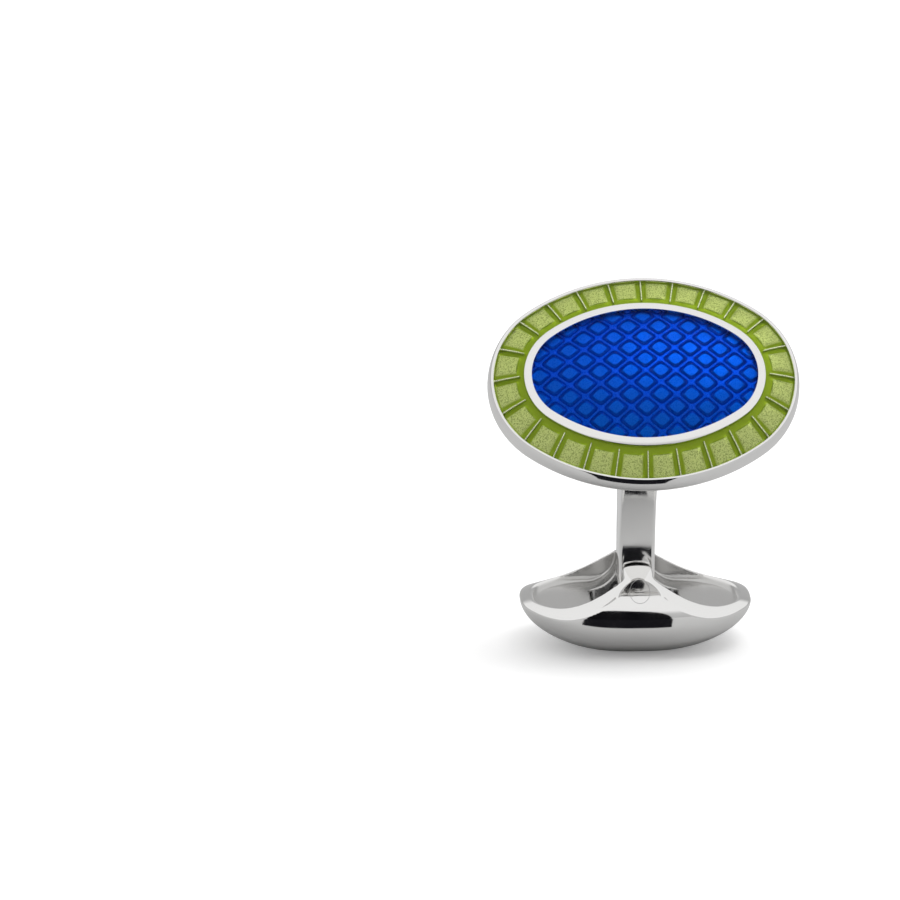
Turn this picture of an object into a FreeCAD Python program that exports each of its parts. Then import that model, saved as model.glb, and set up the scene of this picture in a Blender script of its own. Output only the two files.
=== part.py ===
import FreeCAD, Part
import math
import os

Vec = FreeCAD.Vector

# All sizes are in mm. X runs along the face and the toggle, Y from front to back,
# Z up. The origin is the middle of the small flat foot under the toggle.
along_x = Vec(1, 0, 0)
along_y = Vec(0, 1, 0)
along_z = Vec(0, 0, 1)
origin = Vec(0, 0, 0)
small = 0.01

# Face: an oval dome, tilted forward. Its own frame has z along the dome's axis and
# z = 0 where the outer edge of the enamel meets the rim.
face_length = 20.0
face_width = 14.56
end_share = 0.824
face_tilt = 52.0
face_forward = 8.15
face_height = 19.83
dome_height = 1.80
green_rise = 0.80
rim_width = 0.40
rim_depth = 1.45
rim_lip = 0.08
rim_bevel = 0.22
rim_back_bevel = 0.40
green_width = 1.88
ring_width = 0.50
ring_lip = 0.05
enamel_depth = 0.42
enamel_gap = 0.01

# Engraved silver ground that shows through the enamels: rows of lozenges in the
# middle and one pad for each tile of the border.
lozenge_length = 1.93
lozenge_width = 1.62
lozenge_share = 0.64
lozenge_rise = 0.14
lozenge_margin = 0.02
tiles_in_quarter = 6
pad_width = 1.24
pad_from_rim = 0.20
pad_from_ring = 0.34
pad_rise = 0.20
pad_root = 0.20

# Plate that closes the back of the face.
back_inset = 0.75
back_seat = 0.40
back_bulge = 0.45
back_slope = 2.20
solder_gap = 0.02

# Stem: a flat horn with a square end round the pin.
stem_thickness = 2.34
stem_back = 1.55
stem_front = 1.85
stem_top_back = 3.40
stem_top_front = 3.90
stem_edge_bevel = 0.18
stem_end_round = 0.30

# Hinge pin: a rivet with its ends polished flush.
pin_height = 4.75
pin_radius = 0.50
pin_end_radius = 0.70
pin_end_depth = 0.60
pin_clearance = 0.03

# Toggle: a dished bar with a bridge over its middle that holds the pin.
toggle_length = 15.2
toggle_width = 10.9
hull_middle = 3.0
hull_crown_x = 5.0
hull_crown_y = 3.7
hull_fullness = 1.8
plan_fullness = 0.74
foot_share = 0.30
bowl_strips = 12
bowl_crowding = 1.7
hump_over_pin = 1.20
hump_round = 2.2
flank_round = 4.8
swing_gap = 0.13
toggle_rim = 0.80
toggle_bevel = 0.25
dish_floor = 2.30
dish_round = 0.90
bridge_half = 1.00
bridge_sweep = 0.68
cheek_width = 1.10
slot_side_gap = 0.35
slot_end_gap = 0.15
slot_floor = 1.75
slot_corner = 0.50

# Spring: a bowed leaf under the square end of the stem.
spring_thickness = 0.25
spring_crown = 1.20
spring_foot_start = 2.10
spring_end = 2.75
spring_side_gap = 0.45
spring_gap = 0.03
spring_bend = 0.25

half_x = face_length / 2
half_y = face_width / 2
end_round = end_share * half_y
side_round = ((half_x - end_round) ** 2 + half_y ** 2 - end_round ** 2) / (2 * (half_y - end_round))
dome_inset = rim_width + green_width
dome_rise = dome_height - green_rise
dome_reach_x = half_x - dome_inset
dome_reach_y = half_y - dome_inset
dome_radius = (dome_reach_x ** 2 + dome_rise ** 2) / (2 * dome_rise)
panel_inset = dome_inset + ring_width + enamel_gap
end_lean = math.atan2(side_round - half_y, half_x - end_round)
tilt = math.radians(face_tilt)
face_out = Vec(0, -math.sin(tilt), math.cos(tilt))
face_up = Vec(0, math.cos(tilt), math.sin(tilt))
face_middle = Vec(0, -face_forward, face_height)
back_flat = rim_depth + back_bulge
stem_foot = pin_height - stem_thickness / 2
hump_top = pin_height + hump_over_pin
rim_end_height = stem_foot - swing_gap
slot_half_width = max(stem_front, stem_back) + slot_side_gap
slot_half_length = spring_end + slot_end_gap
crest_half_width = slot_half_width + cheek_width
roof = 2 * hump_top


def both_ways(edges, way, reach):
    """Solid from a closed outline, extruded by reach to both sides along way."""
    profile = Part.Face(Part.Wire(Part.__sortEdges__(edges)))
    profile.translate(way * -reach)
    return profile.extrude(way * (2 * reach))


def flip(point, way):
    return point - way * (2 * point.dot(way))


def corner_arc(start, corner, end):
    """Quarter circle from start to end that rounds a square corner."""
    middle = start + end - corner
    return Part.Arc(start, middle + (corner - middle) * math.sqrt(0.5), end).toShape()


def oval(inset, height):
    """Oval outline of the face from four arcs, made smaller all round by inset."""
    meet_x = half_x - end_round + (end_round - inset) * math.cos(end_lean)
    meet_y = (end_round - inset) * math.sin(end_lean)
    right = Vec(half_x - inset, 0, height)
    top = Vec(0, half_y - inset, height)
    upper = Vec(meet_x, meet_y, height)
    lower = Vec(meet_x, -meet_y, height)
    return Part.Wire([
        Part.Arc(lower, right, upper).toShape(),
        Part.Arc(upper, top, flip(upper, along_x)).toShape(),
        Part.Arc(flip(upper, along_x), flip(right, along_x), flip(lower, along_x)).toShape(),
        Part.Arc(flip(lower, along_x), flip(top, along_y), lower).toShape(),
    ])


def oval_prism(inset, low, high):
    return Part.Face(oval(inset, low)).extrude(along_z * (high - low))


def oval_band(outer_inset, inner_inset):
    """Upright wall between two ovals, taller than the face."""
    outer = oval_prism(outer_inset, -rim_depth, 2 * dome_height)
    return outer.cut(oval_prism(inner_inset, -rim_depth, 2 * dome_height))


def dome(drop):
    """Everything under the dome over the ring and the middle, lowered by drop."""
    ball = Part.makeSphere(dome_radius)
    ball.rotate(origin, along_x, 90)
    ball.translate(along_z * (dome_height - dome_radius - drop))
    narrow = FreeCAD.Matrix()
    narrow.scale(1, dome_reach_y / dome_reach_x, 1)
    return ball.transformGeometry(narrow)


def under_dome(spot, drop):
    """The point below the dome by drop at a place seen from above."""
    away = math.hypot(spot.x, spot.y * dome_reach_x / dome_reach_y)
    fall = dome_radius - math.sqrt(dome_radius ** 2 - away ** 2)
    return Vec(spot.x, spot.y, dome_height - fall - drop)


def flat_face(corners):
    return Part.Face(Part.makePolygon(corners + corners[:1]))


def inset_of(spot):
    """How far inside the face's outline a place seen from above lies."""
    from_end = Vec(abs(spot.x) - half_x + end_round, abs(spot.y), 0)
    from_side = Vec(abs(spot.x), abs(spot.y) - half_y + side_round, 0)
    if math.atan2(from_end.y, from_end.x) < end_lean:
        return end_round - from_end.Length
    return side_round - from_side.Length


def lozenge_corners(row, column, stretch):
    """Middle and corners of one cell of the pattern, seen from above."""
    right = along_x * (lozenge_length / 2 * stretch)
    up = along_y * (lozenge_width / 2 * stretch)
    middle = right * (row + column + 1) + up * (row - column)
    return middle, [middle + right, middle + up, middle - right, middle - up]


def lozenge_cells():
    """Row and column of each lozenge that lies whole within the middle panel."""
    reach = math.ceil(half_x / lozenge_length + half_y / lozenge_width)
    for row in range(-reach, reach):
        for column in range(-reach, reach):
            corners = lozenge_corners(row, column, 1)[1]
            if min(inset_of(corner) for corner in corners) > panel_inset + lozenge_margin:
                yield row, column


def lozenge_ground(clear):
    """Block under the middle panel, its top engraved with lozenges, made larger by clear."""
    stretch = 1 + clear / (half_y - panel_inset)
    cells = list(lozenge_cells())
    faces = []
    for row, column in cells:
        middle, spots = lozenge_corners(row, column, stretch)
        foot = [under_dome(spot, enamel_depth - clear) for spot in spots]
        centre = under_dome(middle, enamel_depth - clear - lozenge_rise)
        crest = [centre + (foot[k] - foot[k - 2]) * (lozenge_share / 2) for k in range(4)]
        faces += [flat_face(crest), flat_face(spots)]
        beside = [(row, column + 1), (row + 1, column), (row, column - 1), (row - 1, column)]
        for k in range(4):
            faces.append(flat_face([foot[k - 1], foot[k], crest[k]]))
            faces.append(flat_face([foot[k - 1], crest[k], crest[k - 1]]))
            if beside[k] not in cells:
                faces.append(flat_face([foot[k - 1], foot[k], spots[k], spots[k - 1]]))
    return Part.makeSolid(Part.makeShell(faces))


def slope(drop):
    """Everything under the slope between the rim and the ring, lowered by drop."""
    outlines = [oval(rim_width, -drop), oval(dome_inset, green_rise - drop)]
    base = oval_prism(rim_width, -rim_depth, -drop)
    return base.fuse(Part.makeLoft(outlines, True, True))


def tile_middles():
    """Middles of the border's tiles in one quarter, each with its direction outwards."""
    inset = rim_width + green_width / 2
    end_middle = Vec(half_x - end_round, 0, 0)
    side_middle = Vec(0, half_y - side_round, 0)
    end_length = (end_round - inset) * end_lean
    side_length = (side_round - inset) * (math.pi / 2 - end_lean)
    for number in range(tiles_in_quarter):
        way = (number + 0.5) / tiles_in_quarter * (end_length + side_length)
        if way < end_length:
            turn = way / (end_round - inset)
            yield end_middle + Vec(math.cos(turn), math.sin(turn), 0) * (end_round - inset), turn
        else:
            turn = end_lean + (way - end_length) / (side_round - inset)
            yield side_middle + Vec(math.cos(turn), math.sin(turn), 0) * (side_round - inset), turn


def tile_pads(clear):
    """Raised pads under the border's tiles, made larger all round by clear."""
    pitch = math.atan2(green_rise, green_width)
    level = green_rise / 2 - enamel_depth
    outer = (green_width / 2 - pad_from_rim) / math.cos(pitch) + clear
    inner = (green_width / 2 - pad_from_ring) / math.cos(pitch) + clear
    width = pad_width + 2 * clear
    pads = []
    for middle, turn in tile_middles():
        pad = Part.makeBox(inner + outer, width, pad_root + pad_rise + clear,
                           Vec(-inner, -width / 2, -pad_root))
        pad.rotate(origin, along_y, math.degrees(pitch))
        pad.rotate(origin, along_z, math.degrees(turn))
        pad.translate(middle + along_z * level)
        pads += [pad, pad.mirror(origin, along_x)]
    return pads + [pad.mirror(origin, along_y) for pad in pads]


def on_face(shape):
    """Carry a shape from the face's own frame into the part's frame."""
    shape.rotate(origin, along_x, face_tilt)
    shape.translate(face_middle)
    return shape


def face_plate():
    """Plate with the rim, an engraved recess for the enamels and a seat in its back."""
    body = oval_prism(0, -rim_depth, rim_lip)
    top = [e for e in body.Edges if e.BoundBox.ZMin > rim_lip - small]
    bottom = [e for e in body.Edges if e.BoundBox.ZMax < small - rim_depth]
    body = body.makeChamfer(rim_bevel, top).makeChamfer(rim_back_bevel, bottom)
    body = body.cut(oval_prism(rim_width, -enamel_depth, dome_height))
    body = body.fuse([slope(enamel_depth), lozenge_ground(0)] + tile_pads(0))
    return on_face(body.cut(oval_prism(back_inset, -rim_depth, back_seat - rim_depth)))


def green_enamel():
    ring = oval_band(rim_width + enamel_gap, dome_inset - enamel_gap)
    ground = [slope(enamel_depth - enamel_gap)] + tile_pads(enamel_gap)
    return on_face(ring.common(slope(0)).cut(ground))


def dividing_ring():
    """Band that stands on the flat in the middle of the recess."""
    ring = oval_band(dome_inset, dome_inset + ring_width)
    return on_face(ring.common(dome(-ring_lip)).cut(slope(enamel_depth - enamel_gap)))


def blue_enamel():
    panel = oval_prism(panel_inset, green_rise - enamel_depth + enamel_gap, 2 * dome_height)
    return on_face(panel.common(dome(0)).cut(lozenge_ground(enamel_gap)))


def back_plate():
    """Plate let into the back of the face, with a flat for the stem's foot."""
    inset = back_inset + solder_gap
    edge = oval_prism(inset, -rim_depth, back_seat - rim_depth - solder_gap)
    outlines = [oval(inset, -rim_depth), oval(inset + back_slope, -back_flat)]
    return on_face(edge.fuse(Part.makeLoft(outlines, True, True)))


def arc_from(start, heading, end):
    """Arc that leaves start along heading and runs to end, in the YZ plane."""
    chord = end - start
    side = along_x.cross(heading)
    radius = chord.Length ** 2 / (2 * chord.dot(side))
    middle = start + side * radius
    out = (start + end) / 2 - middle
    out.normalize()
    return Part.Arc(start, middle + out * abs(radius), end).toShape()


def stem_front_view():
    """Stem seen from the front: straight sides and a square end with round corners."""
    half = stem_thickness / 2
    side = Vec(half, 0, stem_foot + stem_end_round)
    foot = Vec(half - stem_end_round, 0, stem_foot)
    corner = Vec(half, 0, stem_foot)
    top = Vec(half, 0, 2 * face_height)
    edges = [
        Part.makeLine(flip(foot, along_x), foot),
        corner_arc(foot, corner, side),
        Part.makeLine(side, top),
        Part.makeLine(top, flip(top, along_x)),
        Part.makeLine(flip(top, along_x), flip(side, along_x)),
        corner_arc(flip(side, along_x), flip(corner, along_x), flip(foot, along_x)),
    ]
    return both_ways(edges, along_y, 2 * face_height)


def stem():
    """Horn that leaves the pin upright and widens to its seat on the back plate."""
    seat = face_middle - face_out * (back_flat + solder_gap)
    top_back = seat + face_up * stem_top_back
    top_front = seat - face_up * stem_top_front
    foot_back = Vec(0, stem_back, stem_foot)
    foot_front = Vec(0, -stem_front, stem_foot)
    bend_front = Vec(0, -stem_front, pin_height)
    body = both_ways([
        Part.makeLine(foot_front, foot_back),
        arc_from(foot_back, along_z, top_back),
        Part.makeLine(top_back, top_front),
        arc_from(bend_front, along_z, top_front),
        Part.makeLine(bend_front, foot_front),
    ], along_x, stem_thickness / 2)
    curved = [e for e in body.Edges if "Circle" in e.Curve.TypeId]
    body = body.makeChamfer(stem_edge_bevel, curved).common(stem_front_view())
    eye = Part.makeCylinder(pin_radius + pin_clearance, 2 * toggle_width,
                            Vec(0, -toggle_width, pin_height), along_y)
    return body.cut(eye)


def hull_section(height, inset):
    """Rounded oblong across the toggle at one height, from four curves."""
    if height < hull_middle:
        whole = 1 - foot_share ** hull_fullness
        depth = hull_middle / whole ** (1 / hull_fullness)
        part = 1 - ((hull_middle - height) / depth) ** hull_fullness
        share_x = part ** (1 / hull_fullness)
        share_y = share_x
    else:
        share_x = math.sqrt(1 - ((height - hull_middle) / hull_crown_x) ** 2)
        share_y = math.sqrt(1 - ((height - hull_middle) / hull_crown_y) ** 2)
    reach_x = along_x * (toggle_length / 2 * share_x - inset)
    reach_y = along_y * (toggle_width / 2 * share_y - inset)
    ends = [reach_x, reach_y, reach_x * -1, reach_y * -1, reach_x]
    edges = []
    for start, stop in zip(ends, ends[1:]):
        curve = Part.BezierCurve()
        curve.setPoles([start, start + stop * plan_fullness, stop + start * plan_fullness, stop])
        edges.append(curve.toShape())
    section = Part.Wire(edges)
    section.translate(along_z * height)
    return section


def hull():
    """Outer form of the toggle before its top is cut: a bowl in narrow strips and a crown."""
    low = [hull_middle * (step / bowl_strips) ** bowl_crowding for step in range(bowl_strips + 1)]
    top = (hump_top + hull_middle + hull_crown_y) / 2
    high = [hull_middle + (top - hull_middle) * share for share in [0, 0.33, 0.67, 1]]
    bowl = Part.makeLoft([hull_section(h, 0) for h in low], True, True)
    crown = Part.makeLoft([hull_section(h, 0) for h in high], True, False, False, 3)
    return bowl.fuse(crown)


def above_saddle():
    """Everything over the line that the toggle's rim follows: low ends, a hump between."""
    turn_sum = hump_round + flank_round
    drop = hump_top - rim_end_height
    level = math.sqrt(turn_sum ** 2 - (turn_sum - drop) ** 2)
    hump_middle = Vec(0, 0, hump_top - hump_round)
    flank_middle = Vec(level, 0, rim_end_height + flank_round)
    meet = hump_middle + (flank_middle - hump_middle) * (hump_round / turn_sum)
    lean = math.asin((level - meet.x) / flank_round) / 2
    dip = flank_middle - Vec(math.sin(lean), 0, math.cos(lean)) * flank_round
    low = Vec(level, 0, rim_end_height)
    far = Vec(toggle_length, 0, rim_end_height)
    high = Vec(toggle_length, 0, roof)
    right = [
        Part.Arc(meet, dip, low).toShape(),
        Part.makeLine(low, far),
        Part.makeLine(far, high),
    ]
    left = [e.mirror(origin, along_x) for e in right]
    crest = Part.Arc(flip(meet, along_x), along_z * hump_top, meet).toShape()
    closing = Part.makeLine(high, flip(high, along_x))
    return both_ways(right + left + [crest, closing], along_y, toggle_width)


def dish_lengthwise():
    """Half of the dish seen from the front, with the bridge's hollow flank."""
    sweep = bridge_sweep * (hump_top - dish_floor)
    end = toggle_length / 2 - toggle_rim
    flank = Vec(bridge_half, 0, dish_floor + sweep)
    flank_corner = Vec(bridge_half, 0, dish_floor)
    flank_foot = Vec(bridge_half + sweep, 0, dish_floor)
    end_foot = Vec(end - dish_round, 0, dish_floor)
    end_corner = Vec(end, 0, dish_floor)
    end_wall = Vec(end, 0, dish_floor + dish_round)
    flank_top = Vec(bridge_half, 0, roof)
    end_top = Vec(end, 0, roof)
    return both_ways([
        Part.makeLine(flank_top, flank),
        corner_arc(flank, flank_corner, flank_foot),
        Part.makeLine(flank_foot, end_foot),
        corner_arc(end_foot, end_corner, end_wall),
        Part.makeLine(end_wall, end_top),
        Part.makeLine(end_top, flank_top),
    ], along_y, toggle_width)


def dish_crosswise():
    """The dish seen from the end: flat floor, round corners, walls that lean in."""
    side = toggle_width / 2 - toggle_rim
    foot = Vec(0, side - dish_round, dish_floor)
    corner = Vec(0, side, dish_floor)
    wall = Vec(0, side, dish_floor + dish_round)
    knee = Vec(0, side, hull_middle + dish_round)
    crest = Vec(0, crest_half_width, hump_top)
    top = Vec(0, crest_half_width, roof)
    right = [
        corner_arc(foot, corner, wall),
        Part.makeLine(wall, knee),
        Part.makeLine(knee, crest),
        Part.makeLine(crest, top),
    ]
    left = [e.mirror(origin, along_y) for e in right]
    floor = Part.makeLine(flip(foot, along_y), foot)
    closing = Part.makeLine(top, flip(top, along_y))
    return both_ways(right + left + [floor, closing], along_x, toggle_length)


def dish_half():
    """Cut for one half of the dish, between the toggle's end and the bridge."""
    plan = Part.Face(hull_section(rim_end_height, toggle_rim))
    plan.translate(along_z * -rim_end_height)
    upright = plan.extrude(along_z * roof)
    return upright.common(dish_lengthwise()).common(dish_crosswise())


def slot():
    """Cut in the bridge for the stem's end and the spring."""
    block = Part.makeBox(2 * slot_half_length, 2 * slot_half_width, roof,
                         Vec(-slot_half_length, -slot_half_width, slot_floor))
    upright = [e for e in block.Edges if e.BoundBox.ZLength > small]
    return block.makeFillet(slot_corner, upright)


def rivet():
    """The pin with its two spread ends, longer than the toggle is wide."""
    side = toggle_width / 2 * math.sqrt(1 - ((pin_height - hull_middle) / hull_crown_y) ** 2)
    spread = Vec(0, side - pin_end_depth, pin_height)
    shank = Part.makeCylinder(pin_radius, 2 * toggle_width,
                              Vec(0, -toggle_width, pin_height), along_y)
    back = Part.makeCylinder(pin_end_radius, toggle_width, spread, along_y)
    front = Part.makeCylinder(pin_end_radius, toggle_width, flip(spread, along_y), flip(along_y, along_y))
    return shank.fuse([front, back]).removeSplitter()


def toggle_body():
    body = hull().cut(above_saddle())
    rim = [e for e in body.Edges
           if e.BoundBox.ZMin > rim_end_height - small and "Line" not in e.Curve.TypeId]
    body = body.makeChamfer(toggle_bevel, rim)
    right = dish_half()
    left = right.mirror(origin, along_x)
    return body.cut([right, left, slot(), rivet()])


def hinge_pin():
    """The rivet with its ends trimmed flush to the toggle's sides."""
    return rivet().common(hull())


def snap_spring():
    """Leaf with a flat crown, two legs and two feet on the slot's floor."""
    crown = stem_foot - spring_gap
    foot = slot_floor + spring_thickness
    steep = (crown - foot) / (spring_foot_start - spring_crown)
    shift = spring_thickness * (math.sqrt(1 + steep ** 2) - 1) / steep
    upper_bends = [Vec(spring_crown, 0, crown), Vec(spring_foot_start - shift, 0, slot_floor)]
    lower_bends = [Vec(spring_crown - shift, 0, crown - spring_thickness),
                   Vec(spring_foot_start, 0, foot)]
    tip = [Vec(spring_end, 0, foot), Vec(spring_end, 0, slot_floor)]
    right = [upper_bends[0], lower_bends[1], tip[0], tip[1], upper_bends[1], lower_bends[0]]
    outline = right + [flip(p, along_x) for p in reversed(right)]
    edges = [Part.makeLine(a, b) for a, b in zip(outline, outline[1:] + outline[:1])]
    leaf = both_ways(edges, along_y, slot_half_width - spring_side_gap)

    def bends(points):
        return [e for e in leaf.Edges if e.BoundBox.YLength > small and any(
            abs(abs(e.BoundBox.Center.x) - p.x) + abs(e.BoundBox.Center.z - p.z) < small
            for p in points)]

    leaf = leaf.makeFillet(spring_bend + spring_thickness, bends(upper_bends))
    return leaf.makeFillet(spring_bend, bends(lower_bends))


pieces = {
    "face_plate": face_plate,
    "dividing_ring": dividing_ring,
    "green_enamel": green_enamel,
    "blue_enamel": blue_enamel,
    "back_plate": back_plate,
    "stem": stem,
    "toggle_body": toggle_body,
    "hinge_pin": hinge_pin,
    "snap_spring": snap_spring,
}

os.makedirs("parts", exist_ok=True)
for name, make in pieces.items():
    make().exportStep("parts/" + name + ".step")
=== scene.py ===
import math

import bpy
import numpy as np
from mathutils import Matrix, Vector


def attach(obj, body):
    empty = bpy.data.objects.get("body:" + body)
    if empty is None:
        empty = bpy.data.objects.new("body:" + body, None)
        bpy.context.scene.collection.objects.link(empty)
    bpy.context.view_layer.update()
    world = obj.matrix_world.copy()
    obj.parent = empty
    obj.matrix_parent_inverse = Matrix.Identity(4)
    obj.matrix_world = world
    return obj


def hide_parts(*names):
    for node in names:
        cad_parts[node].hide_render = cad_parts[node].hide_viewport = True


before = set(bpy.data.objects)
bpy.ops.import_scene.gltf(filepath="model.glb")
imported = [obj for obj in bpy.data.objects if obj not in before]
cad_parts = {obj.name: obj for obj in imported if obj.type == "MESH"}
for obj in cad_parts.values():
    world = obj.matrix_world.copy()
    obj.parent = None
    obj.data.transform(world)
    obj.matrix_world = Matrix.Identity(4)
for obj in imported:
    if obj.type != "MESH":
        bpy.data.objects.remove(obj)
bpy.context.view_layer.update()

# Sizes are in millimetres, in the frame of the CAD model, until a mesh is made.
MM = 0.001

# Face: an oval, tilted forward. Its own frame has z along the dome's axis and z = 0
# where the outer edge of the enamel meets the rim.
half_x = 10.0
half_y = 7.28
end_round = 0.824 * half_y
side_round = ((half_x - end_round) ** 2 + half_y ** 2 - end_round ** 2) / (2 * (half_y - end_round))
face_tilt = math.radians(52.0)
face_middle = Vector((0, -8.15, 19.83))
dome_height = 1.80
green_rise = 0.80
green_crown = 0.05
rim_width = 0.40
rim_crest = 0.10
rim_crest_inset = 0.25
rim_waist = -1.10
rim_depth = 1.45
rim_back_inset = 0.32
green_width = 1.88
ring_inset = rim_width + green_width
ring_width = 0.50
ring_lip = 0.012
ring_edge = 0.03
ring_foot = 0.45
ring_crown = 0.005
bury = 0.03
oval_steps = 288
panel_steps = 192
edge_steps = 720

# Ground under the green enamel: one raised pad for each tile and a ridge between tiles.
tiles = 24
tile_inset = rim_width + green_width / 2
green_depth = 0.32
green_under = 0.10
pad_rise = 0.10
ridge_rise = 0.26
pad_outer = 0.46
pad_inner = 1.86
pad_margin = 0.28
pad_slope = 0.10
rim_fillet = 0.16
ridge_inner = 2.00
ridge_half = 0.030
ridge_foot = 0.050

# Ground under the blue enamel: lozenge pads, each in its own moat, in a lattice.
lozenge_half_x = 0.965
lozenge_half_y = 0.81
lattice_depth = 0.48
lozenge_rise = 0.07
moat_drop = 0.04
pad_edge = 0.02
lozenge_reach = 9
lozenge_corner = 5
ground_bury = 0.1
blue_depth = 0.55

# Back plate and stem.
back_inset = 0.77
back_seat = 0.40
cover_seat = 0.38
back_bulge = 0.45
back_slope = 2.20
stem_half = 1.17
stem_back = 1.55
stem_front = 1.85
stem_top_back = 3.40
stem_top_front = 3.90
stem_edge = 0.24
stem_end_round = 0.30
stem_bury = 0.05
stem_steps = 70
pin_height = 4.75
pin_radius = 0.50
pin_end_radius = 0.67
pin_seam = 0.03
pin_proud = 0.004
pin_end_depth = 0.6
pin_slot_gap = 0.3
pin_steps = 64
stem_foot = pin_height - stem_half

# Toggle.
toggle_half_x = 7.6
toggle_half_y = 5.45
plan_power = 2.75
hull_middle_x = 3.2
hull_middle_y = 2.75
hull_crown_x = 4.66
hull_crown_y = 4.0
hull_fullness_x = 1.8
hull_fullness_y = 2.35
foot_share = 0.30
hump_top = 5.95
hump_round = 2.2
flank_round = 6.5
rim_end_height = 3.45
toggle_rim = 0.80
rim_bevel_width = 0.66
rim_bevel_drop = 0.62
hump_bevel_drop = 0.45
end_bevel_drop = 0.25
rim_top_round = 0.25
rim_edge = 0.09
rim_inner_round = 0.22
dish_floor = 3.05
dish_round = 0.22
wall_lean = 0.5
knee_height = 3.90
bridge_half = 1.00
bridge_sweep = 0.68 * (hump_top - dish_floor)
crest_half_width = 3.30
slot_half_length = 2.90
slot_half_width = 2.20
slot_floor = 1.75
slot_corner = 0.50
foot_edge = 0.05
knee_round = 0.5
wall_corner = 0.9
slot_floor_round = 0.15
slot_edge = 0.10
# Depths inside the toggle's outer form where the hollows' satin and painted shade begin and are full.
satin_and_shade_start = 0.08
satin_and_shade_full = 0.30
net_step = 0.10

# Finishes, and a darker silver painted as shade in the toggle's dish and slot.
silver_colour = (0.90, 0.895, 0.885)
hollow_shade_colour = (0.60, 0.595, 0.585)
silver_gloss = (0.04, 0.10, 900)

# Studio: a dark strip on the floor from near to far and a dark hill at its far end.
card_near = -11
card_far = -62
card_lift = 0.02
hill_half = 19
hill_middle = -4.5
hill_height = 24
front_sky = [(0.0, 0.48), (0.18, 0.55), (0.30, 0.88), (1.0, 0.88)]
back_sky = [(0.0, 0.50), (0.14, 0.45), (0.30, 0.40), (0.38, 0.85), (1.0, 0.88)]


def make_piece(name, points, faces, material, body, place=Matrix.Identity(4)):
    """Mesh object from points in millimetres, riding on a CAD body."""
    mesh = bpy.data.meshes.new(name)
    mesh.from_pydata([tuple(place @ Vector(p) * MM) for p in points], [], faces)
    mesh.materials.append(material)
    mesh.shade_smooth()
    piece = bpy.data.objects.new(name, mesh)
    bpy.context.scene.collection.objects.link(piece)
    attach(piece, body)
    return piece


def sharpen(piece, degrees):
    """Edges that turn by more than an angle stay crisp."""
    piece.data.set_sharp_from_angle(angle=math.radians(degrees))


def end_caps(rings, around):
    """One face over the first ring and one over the last."""
    return [tuple(range(around))[::-1], tuple(range((rings - 1) * around, rings * around))]


def tube_faces(rings, around, closed_along=False):
    """Quads between rings of equal length, each ring closed on itself."""
    faces = []
    for ring in range(rings if closed_along else rings - 1):
        low = ring * around
        high = (ring + 1) % rings * around
        for step in range(around):
            after = (step + 1) % around
            faces.append((low + step, low + after, high + after, high + step))
    return faces


def set_tone(piece, values):
    """A share kept with each point for the material: on engraved grounds how bright a cut is painted, as
    painted shade of the relief; on the toggle how hollow a place is, for satin and painted shade.
    """
    tone = piece.data.attributes.new("tone", "FLOAT", "POINT")
    tone.data.foreach_set("value", np.asarray(values, dtype=np.float32))


def face_place():
    """From the face's own frame into the part's frame, in millimetres."""
    return Matrix.Translation(face_middle) @ Matrix.Rotation(face_tilt, 4, "X")


def oval_stations(shares):
    """Arc centre, outward direction and arc radius at shares of the way round the oval."""
    lean = math.atan2(side_round - half_y, half_x - end_round)
    end_length = (end_round - tile_inset) * lean
    side_length = (side_round - tile_inset) * (math.pi / 2 - lean)
    way = np.asarray(shares) * 4
    turn = np.floor(way).astype(int) % 4
    part = way - np.floor(way)
    part = np.where(turn % 2 == 0, part, 1 - part) * (end_length + side_length)
    on_end = part < end_length
    angle = np.where(on_end, part / (end_round - tile_inset),
                     lean + (part - end_length) / (side_round - tile_inset))
    side_x = np.where((turn == 0) | (turn == 3), 1, -1)
    side_y = np.where(turn < 2, 1, -1)
    centre = np.stack([np.where(on_end, half_x - end_round, 0) * side_x,
                       np.where(on_end, 0, half_y - side_round) * side_y], 1)
    out = np.stack([np.cos(angle) * side_x, np.sin(angle) * side_y], 1)
    return centre, out, np.where(on_end, end_round, side_round)


def oval_ring(stations, inset):
    """Points of the oval, drawn in from its outer edge."""
    centre, out, radius = stations
    return centre + out * (radius - inset)[:, None]


def with_height(flat, height):
    """Flat points with one height, or with a height each."""
    return np.column_stack([flat, np.broadcast_to(height, len(flat))])


def dome(flat):
    """Height of the domed middle over the face's own plane."""
    rise = dome_height - green_rise
    reach_x = half_x - ring_inset
    reach_y = half_y - ring_inset
    radius = (reach_x ** 2 + rise ** 2) / (2 * rise)
    away = flat[:, 0] ** 2 + (flat[:, 1] * reach_x / reach_y) ** 2
    return dome_height - radius + np.sqrt(radius ** 2 - away)


def slope(inset):
    """Height of the enamel between the rim and the dividing ring."""
    share = (inset - rim_width) / green_width
    return green_rise * share + green_crown * np.sin(np.pi * np.clip(share, 0, 1))


def even_shares(count):
    """Equal steps of the way round the oval."""
    return np.arange(count) / count


def tile_shares():
    """Places round the oval, closer together where the ground's edges are."""
    pitch = 2 * lozenge_half_x
    marks = [0, ridge_half / pitch, ridge_foot / pitch, 0.08, pad_margin / pitch,
             (pad_margin + pad_slope) / pitch, 0.35]
    marks += [0.5] + [1 - m for m in reversed(marks[1:])]
    return np.array([(tile + mark) / tiles for tile in range(tiles) for mark in marks])


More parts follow.
